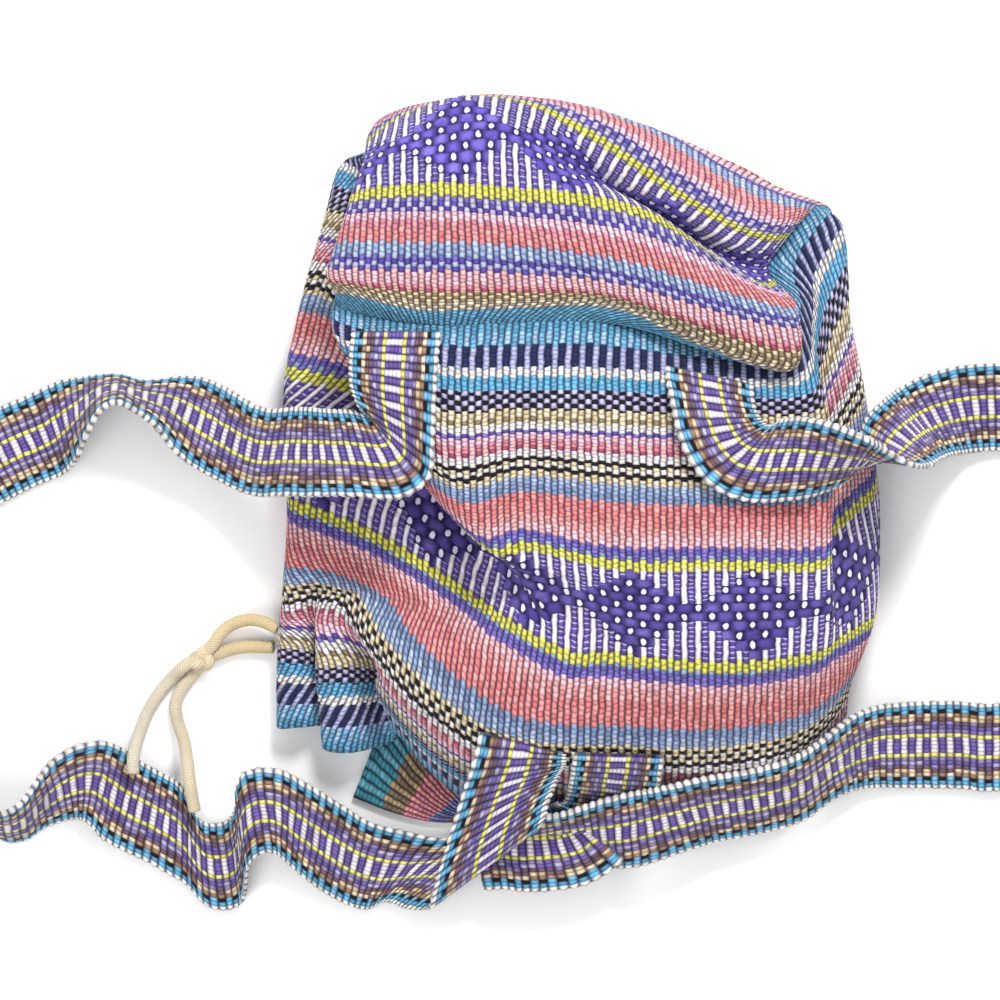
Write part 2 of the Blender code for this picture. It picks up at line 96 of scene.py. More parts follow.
# How far the selvage's beads stand out, and the steepest slants that are allowed for
SELVAGE_BEAD = 0.7
LEAST_SLANT = 0.56
LEAST_LEVEL = 0.4
# The cloth under a strap is felt for from this height in metres, at these shares of its width
FEELER_HEIGHT = 0.15
FEELER_SHARES = np.linspace(-0.05, 1.05, 19)

# Drawstring, in millimetres
CORD_DIAMETER = 5.5
CORD_LAY = 10
CORD_STITCHES_ROUND = 16
CORD_STITCHES_ALONG = 9
# Where along X, in metres, the cord turns from its pale tails to its warm end at the hem
CORD_FADE = (-0.190, -0.150)
TUBE_STEP = 0.8
TUBE_SIDES = 24
STRAND_SHIFT = 1.6
KNOT_CORD_RADIUS = 2.5
KNOT_REACH = (1.6, 1.15, 1.7)
KNOT_LEAN = 35
KNOT_SAMPLES = 240

# Flap, in millimetres
FLAP_RIBS = 34
FLAP_LINES = 61
FLAP_THICKNESS = 1.8
FLAP_LOWEST = 1.1

# The cage that the solid is built on, in millimetres
# Each row is one woven stripe line: its distance from the base seam, then the points on it,
# from the left side over the folded edge and the back to the right side
WALL_ROWS = [
    (0, [(-88, 124, 18), (-88, 117, 20), (-89, 109, 23), (-93, 98, 29), (-96, 79, 36),
         (-103, 67, 40), (-107, 57, 51), (-68, 49, 60), (-31, 50, 62), (6, 50, 62), (49, 43, 52),
         (82, 41, 48), (87, 60, 46), (79, 76, 42), (98, 100, 33)]),
    (20, [(-106, 121, 17), (-102, 119, 22), (-97, 115, 25), (-86, 95, 26), (-76, 84, 28),
          (-88, 57, 39), (-109, 45, 54), (-63, 31, 66), (-31, 30, 67), (6, 30, 66), (43, 27, 62),
          (91, 27, 53), (98, 52, 44), (100, 72, 37), (112, 92, 26)]),
    (43, [(-115, 93, 16), (-111, 92, 22), (-106, 89, 25), (-97, 80, 27), (-76, 58, 29),
          (-82, 41, 44), (-97, 26, 54), (-63, 6, 68), (-29, 7, 68), (6, 6, 68), (43, 5, 66),
          (100, 6, 58), (101, 20, 46), (109, 38, 40), (115, 52, 26)]),
    (71, [(-123, 64, 20), (-118, 64, 22), (-113, 62, 26), (-104, 54, 29), (-81, 32, 31),
          (-69, 15, 45), (-81, 0, 55), (-57, -20, 66), (-27, -15, 66), (6, -18, 68), (44, -20, 70),
          (101, -18, 62), (105, -7, 46), (113, 5, 38), (121, 17, 24)]),
    (104, [(-130, 32, 18), (-120, 29, 24), (-110, 27, 28), (-94, 20, 29), (-70, 0, 32),
           (-54, -14, 46), (-63, -27, 56), (-42, -47, 66), (-25, -45, 66), (13, -53, 70),
           (56, -53, 72), (101, -53, 62), (105, -40, 48), (115, -30, 40), (126, -19, 22)]),
    (126, [(-131, 0, 18), (-114, -5, 25), (-92, -13, 29), (-65, -29, 32), (-47, -42, 34),
           (-32, -51, 48), (-27, -63, 56), (-15, -66, 58), (-5, -68, 62), (23, -74, 72),
           (61, -74, 74), (101, -72, 62), (107, -66, 50), (118, -57, 40), (128, -46, 22)]),
    (149, [(-130, -28, 18), (-115, -35, 26), (-93, -44, 31), (-71, -57, 35), (-50, -71, 40),
           (-33, -83, 53), (-18, -91, 57), (-4, -97, 60), (8, -96, 64), (27, -98, 70),
           (64, -100, 72), (97, -96, 60), (109, -89, 50), (119, -84, 38), (126, -77, 22)]),
    (186, [(-132, -67, 16), (-124, -67, 22), (-118, -66, 20), (-112, -67, 26), (-103, -70, 34),
           (-93, -87, 44), (-70, -112, 50), (-46, -129, 44), (-22, -136, 46), (10, -137, 46),
           (49, -138, 46), (81, -134, 42), (99, -127, 36), (110, -115, 28), (116, -102, 18)]),
    (213, [(-134, -88, 14), (-125, -90, 20), (-115, -92, 12), (-117, -97, 22), (-103, -97, 27),
           (-89, -100, 16), (-90, -109, 30), (-64, -136, 30), (-37, -149, 25), (2, -155, 24),
           (48, -155, 24), (83, -151, 24), (102, -141, 20), (110, -130, 18), (114, -118, 13)]),
    (253, [(-135, -126, 10), (-125, -126, 15), (-113, -126, 8), (-115, -135, 14), (-103, -137, 18),
           (-86, -133, 8), (-82, -129, 18), (-68, -145, 18), (-46, -160, 16), (-2, -166, 15),
           (46, -167, 15), (83, -160, 16), (101, -149, 13), (108, -140, 14), (111, -130, 11)]),
]
# The seam along the floor, from the right corner to the left one
FAR_SEAM = [(106, 101, 8), (70, 109, 4), (35, 124, 4), (-2, 135, 4), (-42, 139, 4), (-81, 137, 5)]
# How far the wall's lowest run stands in from its two sides, and its lift over the flap
FLOOR_INSET_LEFT = 8
FLOOR_INSET_RIGHT = 6
FLAP_LIFT = 4
FLAP_LIFT_FROM_ROW = 5
FLAP_LIFT_COLUMNS = (3, 4)
# Points of the seam ring that are the four corners of the base
NEAR_LEFT = 6
NEAR_RIGHT = 11
FAR_RIGHT = 15
FAR_LEFT = 20

# The base panel's stripe lines between the near seam and the far one, from left to right
BASE_ROWS = [
    [(-103, 63, 60), (-68, 56, 64), (-31, 57, 66), (11, 57, 67), (49, 41, 67), (86, 29, 62)],
    [(-109, 71, 56), (-67, 69, 66), (-31, 68, 68), (8, 65, 70), (48, 54, 74), (88, 45, 66)],
    [(-104, 90, 56), (-67, 90, 68), (-31, 88, 70), (13, 82, 72), (51, 70, 72), (84, 60, 62)],
    [(-99, 106, 54), (-67, 109, 66), (-31, 107, 66), (3, 104, 64), (35, 93, 58), (70, 69, 56)],
    [(-95, 120, 52), (-68, 128, 62), (-37, 131, 62), (-7, 118, 56), (25, 100, 50), (66, 76, 50)],
    [(-93, 128, 45), (-63, 145, 52), (-33, 144, 58), (-4, 128, 62), (29, 106, 60), (70, 84, 57)],
    [(-92, 135, 36), (-59, 148, 42), (-20, 146, 52), (13, 134, 59), (43, 114, 59), (77, 95, 56)],
    [(-89, 140, 26), (-55, 149, 28), (-16, 147, 38), (23, 137, 42), (61, 117, 40), (85, 106, 37)],
    [(-86, 141, 14), (-48, 148, 14), (-11, 145, 20), (28, 134, 22), (66, 120, 20), (90, 108, 19)],
]

# Strap stations, as the two edges of the strap: outer edge x, y, z, then inner edge x, y, z
STRAP_LEFT = [
    (-63, 46, 56, -101, 46, 50), (-64, 34, 60, -102, 36, 54), (-66, 16, 64, -101, 24, 58),
    (-66, -3, 66, -99, 16, 60), (-68, -18, 66, -95, 11, 60), (-78, -26, 71, -96, 11, 61),
    (-92, -25, 68, -103, 12, 58), (-109, -24, 60, -113, 12, 52), (-130, -22, 44, -126, 11, 42),
    (-145, -19, 30, -140, 8, 34), (-159, -13, 22, -152, 14, 26), (-173, -5, 20, -165, 21, 14),
    (-186, 7, 28, -181, 25, 4), (-195, 12, 36, -194, 25, 3), (-204, 16, 38, -204, 28, 3),
    (-212, 11, 37, -214, 28, 3), (-220, -3, 26, -226, 26, 3), (-230, -14, 3, -243, 19, 8),
    (-252, -24, 3, -268, 8, 8), (-276, -38, 3, -296, -14, 18), (-302, -60, 4, -318, -46, 32),
    (-316, -86, 3, -322, -84, 40), (-310, -120, 3, -310, -122, 40),
    (-286, -146, 3, -284, -148, 40), (-255, -176, 3, -255, -163, 38),
    (-240, -170, 3, -241, -152, 34), (-225, -166, 4, -230, -138, 30),
    (-218, -168, 8, -212, -132, 19), (-208, -179, 4, -198, -138, 9),
    (-191, -187, 3, -184, -146, 9), (-178, -193, 3, -176, -153, 12),
    (-172, -198, 3, -173, -162, 9), (-166, -203, 3, -169, -169, 5),
    (-158, -204, 3, -162, -171, 5), (-151, -202, 5, -155, -167, 10),
    (-149, -195, 11, -152, -160, 20), (-148, -188, 15, -152, -153, 27),
    (-145, -183, 18, -150, -146, 31), (-139, -181, 18, -144, -143, 30),
    (-133, -183, 12, -131, -145, 30), (-117, -197, 6, -109, -158, 22),
    (-100, -206, 3, -90, -169, 12), (-90, -203, 3, -66, -175, 5), (-82, -204, 5, -40, -172, 14),
    (-72, -208, 8, -18, -166, 44), (-67, -196, 20, -17, -160, 46),
    (-63, -185, 26, -15, -153, 46), (-58, -168, 32, -12, -146, 45),
    (-51, -145, 39, -9, -140, 44), (-45, -127, 44, -10, -136, 44),
]
STRAP_RIGHT = [
    (34, 31, 60, 71, 23, 56), (35, 24, 66, 71, 17, 60), (38, 12, 72, 72, 10, 62),
    (44, -4, 75, 74, 5, 66), (55, -18, 76, 78, 3, 70), (70, -25, 71, 84, 6, 73),
    (86, -24, 64, 94, 6, 76), (101, -20, 55, 108, 1, 75), (114, -15, 47, 122, -5, 70),
    (121, -9, 37, 134, -10, 62), (119, 0, 27, 144, -12, 52), (125, 14, 18, 152, -11, 38),
    (140, 25, 10, 160, -8, 22), (160, 31, 5, 168, -5, 8), (182, 33, 4, 182, -4, 4),
    (205, 30, 8, 199, -5, 3), (228, 16, 24, 219, -7, 3), (242, -10, 38, 238, -14, 3),
    (248, -42, 41, 248, -42, 3), (244, -76, 40, 246, -78, 3), (228, -100, 30, 234, -118, 3),
    (206, -112, 14, 211, -144, 3), (182, -117, 4, 182, -153, 4), (164, -115, 6, 165, -153, 3),
    (143, -115, 10, 144, -153, 3), (123, -117, 22, 126, -153, 5), (108, -124, 38, 115, -156, 9),
    (98, -132, 42, 104, -162, 11), (89, -138, 40, 93, -168, 12), (71, -143, 39, 76, -173, 12),
    (52, -146, 42, 58, -176, 15), (34, -149, 46, 44, -181, 19), (20, -150, 45, 24, -189, 20),
    (7, -156, 42, 11, -187, 16), (-6, -162, 38, -2, -181, 8), (-17, -165, 34, -14, -181, 5),
    (-28, -166, 28, -24, -187, 6), (-38, -164, 22, -33, -191, 6), (-47, -162, 14, -41, -193, 5),
    (-50, -161, 8, -44, -195, 4), (-42, -160, 4, -36, -195, 3), (-26, -161, 4, -22, -196, 3),
    (-12, -162, 6, 2, -190, 3), (-10, -160, 16, 20, -174, 12), (-8, -157, 27, 28, -163, 24),
    (-6, -146, 42, 31, -149, 42), (-5, -136, 52, 33, -137, 52),
]

# Flap corners and sides, from the edge sewn to the back of the mouth to the free end
FLAP_LEFT_SIDE = [(-42, -160, 10), (-53, -166, 5), (-66, -168, 2), (-84, -164, 2), (-102, -157, 2)]
FLAP_RIGHT_SIDE = [(4, -161, 10), (-6, -154, 5), (-22, -140, 2), (-36, -80, 2), (-42, -4, 2)]

# Drawstring routes, chosen one by one
UPPER_STRAND = [(-135, -83, 9), (-141, -80, 8), (-148, -79, 7), (-155, -81, 7), (-160, -85, 8),
                (-163.5, -90, 8)]
LOWER_STRAND = [(-137, -91, 4), (-142, -91, 3), (-149, -91, 3), (-155, -92, 3), (-161.5, -94, 4)]
LEFT_TAIL = [(-175.5, -99, 7), (-181, -104, 3), (-187, -111, 3), (-192, -119, 3), (-195, -127, 6),
             (-197, -134, 12), (-198, -140, 15), (-198, -146, 15)]
RIGHT_TAIL = [(-171.5, -102, 3), (-177, -109, 3), (-180, -116, 3), (-179, -124, 3), (-176, -132, 8),
              (-174, -141, 18), (-173, -149, 21), (-172, -156, 19), (-171, -162, 17)]
KNOT_CENTRE = (-168, -96, 6)

# Colours, written as they look on a screen
WHITE = "E6E7E8"
CREAM = "E4DFCF"
BLUE = "68A5C7"
SKY = "5EADD4"
PALE_BLUE = "94BCD8"
TEAL = "5498B4"
NAVY = "1E2850"
LAVENDER = "A6AACF"
LILAC = "B4AFD0"
BLACK = "16121C"
TAN = "D2C298"
PALE_TAN = "E0D4B2"
BROWN = "8A7858"
PURPLE = "5644A0"
VIOLET = "7B6BBC"
PINK = "EEBCC6"
PALE_PINK = "EEBECA"
ROSE = "D58190"
DARK_ROSE = "A8485C"
CORAL = "E39592"
RED_CORAL = "DA7C7C"
PALE_CORAL = "EBB0AE"
BLUE_GREY = "8AA0C2"
PALE_BLUE_GREY = "A8B8D4"
SLATE = "788CAE"
BLUE_PURPLE = "6A62B0"
YELLOW = "DCDC66"
DEEP_YELLOW = "D0CC56"
GREY_BROWN = "988878"
BRICK_PURPLE = "5242A0"
BRICK_VIOLET = "7465C2"
# Painted shade: darker copies of the two brick purples, for the wall's band, which lies in the shade of a
# deep fold
SHADED_BRICK_PURPLE = "42367C"
SHADED_BRICK_VIOLET = "5F519A"
BRICK_DOT = "DCD4EC"
RUNG_PURPLE = "574696"
RUNG_WHITE = "B4AAD4"
BAR_WHITE = "E4DDE8"
PALE_CORD = "DDD4C2"
WARM_CORD = "E3CC9E"
CORD_SHADOW = "B39E76"

# Stripes from the seam to the middle of the cloth: where each ends in pixels of cloth, the colours
# of its even and its odd ribs, and whether the two change places at every pick
WALL_STRIPES = [
    (8.8, BLUE, TEAL, 0), (22, PALE_BLUE, BLUE, 0), (44, NAVY, LAVENDER, 0), (52.8, WHITE, CREAM, 0),
    (66, SKY, BLUE, 0), (83.6, BLACK, LILAC, 1), (92.4, PALE_TAN, TAN, 0), (96.8, BROWN, TAN, 0),
    (105.6, CREAM, WHITE, 0), (110, PURPLE, VIOLET, 0), (118.8, PINK, PALE_PINK, 0),
    (127.6, ROSE, PALE_CORAL, 0), (132, DARK_ROSE, PINK, 0), (140.8, WHITE, CREAM, 0),
    (145.2, BLACK, BLACK, 0), (149.6, TAN, CREAM, 0), (154, CREAM, BLACK, 0), (158.4, BLACK, TAN, 0),
    (162.8, PALE_TAN, TAN, 0), (171.6, PALE_BLUE_GREY, BLUE_GREY, 0), (180.4, BLUE_GREY, SLATE, 0),
    (189.2, CORAL, RED_CORAL, 0), (202.4, RED_CORAL, CORAL, 0), (211.2, CORAL, PALE_CORAL, 0),
    (220, PINK, PALE_CORAL, 0), (228.8, BLUE_PURPLE, VIOLET, 0), (233.2, BLUE_GREY, BLUE_PURPLE, 0),
    (242, YELLOW, DEEP_YELLOW, 0), (290, PURPLE, VIOLET, 0),
]
BASE_STRIPES = [
    (8.8, BLUE, TEAL, 0), (22, TEAL, BLUE, 0), (35.2, GREY_BROWN, PALE_TAN, 1), (48.4, TAN, BROWN, 1),
    (52.8, DARK_ROSE, CORAL, 0), (57.2, ROSE, PALE_CORAL, 0), (70.4, PINK, PALE_CORAL, 0),
    (74.8, PURPLE, LAVENDER, 0), (79.2, LAVENDER, PURPLE, 0), (83.6, BLUE_PURPLE, PALE_BLUE_GREY, 0),
    (92.4, BLUE_GREY, PALE_BLUE_GREY, 0), (101.2, RED_CORAL, CORAL, 0), (110, CORAL, ROSE, 0),
    (118.8, PALE_PINK, PINK, 0), (127.6, PURPLE, LILAC, 1), (132, LILAC, BLUE_PURPLE, 1),
    (143, YELLOW, DEEP_YELLOW, 0), (195, PURPLE, VIOLET, 0),
]
# The strap's, from its middle line in millimetres
STRAP_STRIPES = [
    (3.5, "6A559E", "E4DCE8", 0), (5.6, "D9DB7A", "DDD45C", 0), (7.2, "8477A8", "6C5A9C", 1),
    (9.0, "665896", "A9A2C0", 1), (10.6, "6A5564", "8477A8", 1), (12.2, "CDB48C", "70545C", 1),
    (14.0, "D8C6A0", "98785F", 1), (15.8, BLACK, BLUE, 0), (17.5, TEAL, SKY, 0), (20.0, WHITE, CREAM, 0),
]
# The flap's, from its free end in pixels of cloth
FLAP_STRIPES = [
    (30, "3F8794", "5FA3B0", 0), (54, "7A6A58", "A8916C", 1), (80, ROSE, CORAL, 0),
    (98, BLUE_PURPLE, BLUE_GREY, 0), (124, PINK, CORAL, 0), (400, VIOLET, PURPLE, 0),
]
BASE_MIDDLE = 190.5
# The base's cloth is eased at its near seam: places across it, and the levels of the pattern there
BASE_PLACES = (0, 34, 153, 238, 381)
BASE_LEVELS = (0, 22, 143, 238, 381)
# Diamonds of the band: ribs from one to the next, the depth of a row of bricks, the last row's number
DIAMOND_RIBS = 18
BRICK_ROW = 9.0
LAST_BRICK_ROW = 9.0
# Bricks repeat every four ribs, three ribs of purple beside a dot
BRICK_REPEAT = 4.0


def screen_colour(code, alpha=1.0):
    """A colour written as it looks on a screen, as the light that a shader takes."""
    parts = [int(code[place:place + 2], 16) / 255 for place in (0, 2, 4)]
    light = [part / 12.92 if part <= 0.04045 else ((part + 0.055) / 1.055) ** 2.4 for part in parts]
    return (*light, alpha)


# Shapes of the cloth

def metres(points):
    return (np.asarray(points, float) - REST_POINT) * MM


def curve_at(points, spots, closed=False):
    """Points at the spots, counted in whole points, on the smooth curve through points."""
    points = np.asarray(points, float)
    spots = np.asarray(spots, float)
    count = len(points)
    if closed:
        first = np.floor(spots).astype(int)
        near = [points[(first + step) % count] for step in (-1, 0, 1, 2)]
    else:
        first = np.clip(np.floor(spots).astype(int), 0, count - 2)
        ends = np.concatenate([[2 * points[0] - points[1]], points, [2 * points[-1] - points[-2]]])
        near = [ends[first + step] for step in range(4)]
    part = (spots - first).reshape([-1] + [1] * (points.ndim - 1))
    square, cube = part ** 2, part ** 3
    shares = (-part + 2 * square - cube, 2 - 5 * square + 3 * cube,
              part + 4 * square - 3 * cube, cube - square)
    return sum(share * point for share, point in zip(shares, near)) / 2


def curve_through(points, count):
    return curve_at(points, np.linspace(0, len(points) - 1, count))


def lengths_along(line):
    steps = np.linalg.norm(np.diff(line, axis=0), axis=1)
    return np.concatenate([[0], np.cumsum(steps)])


def points_at_lengths(line, run, wanted):
    return np.stack([np.interp(wanted, run, line[:, axis]) for axis in range(3)], axis=1)


def wall_cage():
    """The cage of the wall, rows of points all the way round, with the run along the floor added."""
    cage = []
    for row, (drop, points) in enumerate(WALL_ROWS):
        left, right = points[0], points[-1]
        floor = []
        for column, (seam_x, seam_y, seam_z) in enumerate(FAR_SEAM):
            share = column / (len(FAR_SEAM) - 1)
            if row == 0:
                floor.append((seam_x, seam_y, seam_z))
                continue
            x = (right[0] - FLOOR_INSET_RIGHT) * (1 - share) + (left[0] + FLOOR_INSET_LEFT) * share
            over_flap = row >= FLAP_LIFT_FROM_ROW and column in FLAP_LIFT_COLUMNS
            floor.append((x, seam_y - drop, FLAP_LIFT if over_flap else 0))
        cage.append(points + floor)
    return np.array(cage, float)


def rib_places(half_round):
    """Lengths from the reference line at which the lines of vertices stand, two to a rib."""
    ribs = np.linspace(-WALL_RIBS / 2, WALL_RIBS / 2, 2 * WALL_RIBS + 1)
    known = [-WALL_RIBS / 2, -EVEN_RIBS_LEFT, EVEN_RIBS_RIGHT, WALL_RIBS / 2]
    places = [-half_round, -EVEN_RIBS_LEFT * RIB_PITCH, EVEN_RIBS_RIGHT * RIB_PITCH, half_round]
    return ribs, np.interp(ribs, known, places)


def wall_surface():
    """Points of the wall's outer side, rows from the mouth to the seam, columns two to a rib."""
    cage = wall_cage()
    whole = cage.shape[1]
    spots = np.linspace(0, whole, whole * WALL_SAMPLES + 1)
    around = np.stack([curve_at(row, spots, closed=True) for row in cage])
    drops = np.array([drop for drop, points in WALL_ROWS], float)
    lines = np.linspace(drops[-1], 0, WALL_FACES_HIGH + 1)
    surface = curve_at(around, np.interp(lines, drops, np.arange(len(drops))))
    surface[:, :, 2] = np.maximum(surface[:, :, 2], 0)
    rows = []
    for ring in surface:
        run = lengths_along(ring)
        back = slice(REFERENCE_COLUMNS[0] * WALL_SAMPLES, REFERENCE_COLUMNS[1] * WALL_SAMPLES + 1)
        start = np.interp(WALL_REFERENCE_X, ring[back, 0], run[back])
        ribs, places = rib_places(run[-1] / 2)
        twice = np.concatenate([ring[:-1], ring[:-1], ring])
        far = np.concatenate([run[:-1] - run[-1], run[:-1], run + run[-1]])
        rows.append(points_at_lengths(twice, far, places + start))
    return np.array(rows), ribs, lines / PIXEL


def base_surface():
    """Points of the base panel's outer side, from its near seam to the far one, two to a rib."""
    seam = np.array(WALL_ROWS[0][1] + FAR_SEAM, float)
    near, right, far, left = (
        curve_at(seam, np.linspace(first, last, count), closed=True)
        for first, last, count in ((NEAR_LEFT, NEAR_RIGHT, SEAM_SAMPLES),
                                   (NEAR_RIGHT, FAR_RIGHT, SIDE_SAMPLES),
                                   (FAR_LEFT, FAR_RIGHT, SEAM_SAMPLES),
                                   (NEAR_LEFT + len(seam), FAR_LEFT, SIDE_SAMPLES)))
    stripes = len(BASE_ROWS) + 1
    rows = [curve_through(near, BASE_COLUMNS)]
    for number, points in enumerate(BASE_ROWS, start=1):
        spot = [number * (SIDE_SAMPLES - 1) / stripes]
        rows.append(np.concatenate([curve_at(left, spot), points, curve_at(right, spot)]))
    rows.append(curve_through(far, BASE_COLUMNS))
    rows = np.array(rows)
    fine_columns = (BASE_COLUMNS - 1) * BASE_SAMPLES + 1
    across = np.linspace(0, BASE_COLUMNS - 1, fine_columns)
    lines = np.stack([curve_at(row, across) for row in rows])
    panel = curve_at(lines, np.linspace(0, stripes, BASE_FACES_DEEP + 1))
    edges = [curve_through(edge, BASE_FACES_DEEP + 1) for edge in (left, right)]
    ends = [curve_through(edge, fine_columns) for edge in (near, far)]
    to_far = np.linspace(0, 1, BASE_FACES_DEEP + 1)[:, None, None]
    panel += (1 - to_far) * (ends[0] - panel[0]) + to_far * (ends[1] - panel[-1])
    to_right = np.linspace(0, 1, fine_columns)[None, :, None]
    panel += ((1 - to_right) * (edges[0] - panel[:, 0])[:, None]
              + to_right * (edges[1] - panel[:, -1])[:, None])
    ribs = np.linspace(-BASE_RIBS_LEFT, BASE_RIBS_RIGHT, 2 * (BASE_RIBS_LEFT + BASE_RIBS_RIGHT) + 1)
    surface = []
    for line in panel:
        run = lengths_along(line)
        start = np.interp(BASE_REFERENCE_X, line[:3 * BASE_SAMPLES, 0], run[:3 * BASE_SAMPLES])
        places = np.interp(ribs, [ribs[0], 0, ribs[-1]], [0, start, run[-1]])
        surface.append(points_at_lengths(line, run, places))
    depth = np.interp(np.linspace(0, 2 * BASE_MIDDLE, BASE_FACES_DEEP + 1), BASE_PLACES, BASE_LEVELS)
    return np.array(surface), ribs, depth


def outward(points):
    """Unit directions square to a grid of points, on the side that the faces look to."""
    across = np.gradient(points, axis=1)
    along = np.gradient(points, axis=0)
    square = np.cross(across, along)
    return square / np.maximum(np.linalg.norm(square, axis=2), 1e-9)[:, :, None]


def wrinkled(points, seed):
    """Shallow uneven swells that worn cloth has, in millimetres, for each point of a grid."""
    swells = np.zeros(points.shape[:2])
    for row, line in enumerate(points):
        for column, point in enumerate(line):
            place = Vector(point / WRINKLE_LENGTHS + (seed, 0, 0))
            swells[row, column] = noise.noise(place) + 0.35 * noise.noise(place * 2.7)
    return swells * WRINKLE_RELIEF


def ribbed(points, seed):
    """The grid with its ribs raised on every second column and its wrinkles added."""
    normals = outward(points)
    raised = np.zeros(points.shape[:2])
    raised[:, 1::2] += RIB_RELIEF
    from_edge = np.minimum(np.arange(len(points)), np.arange(len(points))[::-1])
    raised += wrinkled(points, seed) * np.clip(from_edge / FADED_ROWS, 0, 1)[:, None]
    return points + normals * raised[:, :, None]


def grid_piece(name, points, u_values, v_values, closed=False):
    """A piece of cloth on a grid of points in millimetres, with the cloth's own lengths as its UV map."""
    rows, columns = len(points) - 1, len(points[0]) - 1
    bm = bmesh.new()
    made = bmesh.ops.create_grid(bm, x_segments=columns, y_segments=rows, size=0.5)
    places = {}
    for vertex in made["verts"]:
        column, row = round((vertex.co.x + 0.5) * columns), round((vertex.co.y + 0.5) * rows)
        places[vertex] = (row, column)
        vertex.co = metres(points[row][column])
    layer = bm.loops.layers.uv.new("UVMap")
    for face in bm.faces:
        face.smooth = True
        for loop in face.loops:
            row, column = places[loop.vert]
            loop[layer].uv = (u_values[row][column], v_values[row][column])
    if closed:
        bmesh.ops.remove_doubles(bm, verts=bm.verts, dist=0.01 * MM)
    mesh = bpy.data.meshes.new(name)
    bm.to_mesh(mesh)
    bm.free()
    piece = bpy.data.objects.new(name, mesh)
    bpy.context.collection.objects.link(piece)
    return piece


def give_thickness(piece, thickness, offset):
    wall = piece.modifiers.new("Thickness", "SOLIDIFY")
    wall.thickness = thickness * MM
    wall.offset = offset
    return wall


def spread_uv(ribs, depths):
    """UV values of a grid: one U for a column, one V for a row."""
    return np.tile(ribs, (len(depths), 1)), np.tile(np.array(depths)[:, None], (1, len(ribs)))


# Straps

def strap_edges(stations):
    """Both edges of a strap of even width, from stations that give the two edges roughly."""
    stations = np.array(stations, float)
    outer, inner = stations[:, :3], stations[:, 3:]
    middle = curve_through((outer + inner) / 2, STRAP_STATIONS)
    across = curve_through(outer - inner, STRAP_STATIONS)
    ahead = np.gradient(middle, axis=0)
    ahead /= np.linalg.norm(ahead, axis=1)[:, None]
    given = np.linalg.norm(across, axis=1)[:, None]
    across /= given
    slant = np.linalg.norm(np.cross(across, ahead), axis=1)[:, None]
    width = np.minimum(STRAP_WIDTH / np.maximum(slant, LEAST_SLANT), np.maximum(given, STRAP_WIDTH))
    return middle + across * width / 2, middle - across * width / 2


def rest_on(outer, inner, tree):
    """Lifts the strap, edge by edge, where it would pass through the cloth of the tree under it."""
    lifts = np.zeros(len(outer))
    for index, (one, other) in enumerate(zip(outer, inner)):
        level = np.linalg.norm((one - other)[:2]) / np.linalg.norm(one - other)
        clear = STRAP_SOLID_THICKNESS / 2 / max(level, LEAST_LEVEL) + STRAP_REST_GAP
        for share in FEELER_SHARES:
            spot = metres(one * (1 - share) + other * share)
            hit = tree.ray_cast(Vector((spot[0], spot[1], FEELER_HEIGHT)), Vector((0, 0, -1)))[0]
            if hit is not None:
                lifts[index] = max(lifts[index], (hit.z - spot[2]) / MM + clear)
    spread = np.array([max(lifts[max(index - 1, 0):index + 2]) for index in range(len(lifts))])
    outer[:, 2] += spread
    inner[:, 2] += spread


def make_strap(name, stations, under):
    """One strap as a ribbed band, and its length in millimetres."""
    outer, inner = strap_edges(stations)
    rest_on(outer, inner, under)
    outer, inner = curve_through(outer, STRAP_SAMPLES), curve_through(inner, STRAP_SAMPLES)
    run = lengths_along((outer + inner) / 2)
    ribs = round(run[-1] / STRAP_RIB_PITCH)
    places = np.linspace(0, run[-1], 2 * ribs + 1)
    outer, inner = points_at_lengths(outer, run, places), points_at_lengths(inner, run, places)
    shares = np.linspace(0, 1, STRAP_FACES_ACROSS + 1)
    points = np.array([outer * (1 - share) + inner * share for share in shares])
    points[:, :, 2] = np.maximum(points[:, :, 2], STRAP_SOLID_THICKNESS / 2)
    scallop = np.zeros((len(shares), len(places)))
    scallop[0, 1::2], scallop[-1, 1::2] = SELVAGE_BEAD, -SELVAGE_BEAD
    outwards = (outer - inner) / np.linalg.norm(outer - inner, axis=1)[:, None]
    points = points + scallop[:, :, None] * outwards[None]
    piece = grid_piece(name, points, *spread_uv(np.linspace(0, ribs, len(places)), shares * STRAP_WIDTH))
    ridges = piece.vertex_groups.new(name="Ridges")
    columns = np.rint(np.array([loop.uv[0] for loop in piece.data.uv_layers[0].data]) * 2).astype(int)
    corners = np.array([loop.vertex_index for loop in piece.data.loops])
    ridges.add(np.unique(corners[columns % 2 == 1]).tolist(), 1.0, "REPLACE")
    wall = give_thickness(piece, STRAP_THICKNESS, 0)
    wall.vertex_group = "Ridges"
    wall.thickness_vertex_group = 1 - 2 * STRAP_RIB_RELIEF / STRAP_THICKNESS
    return piece, run[-1]


# Shader building

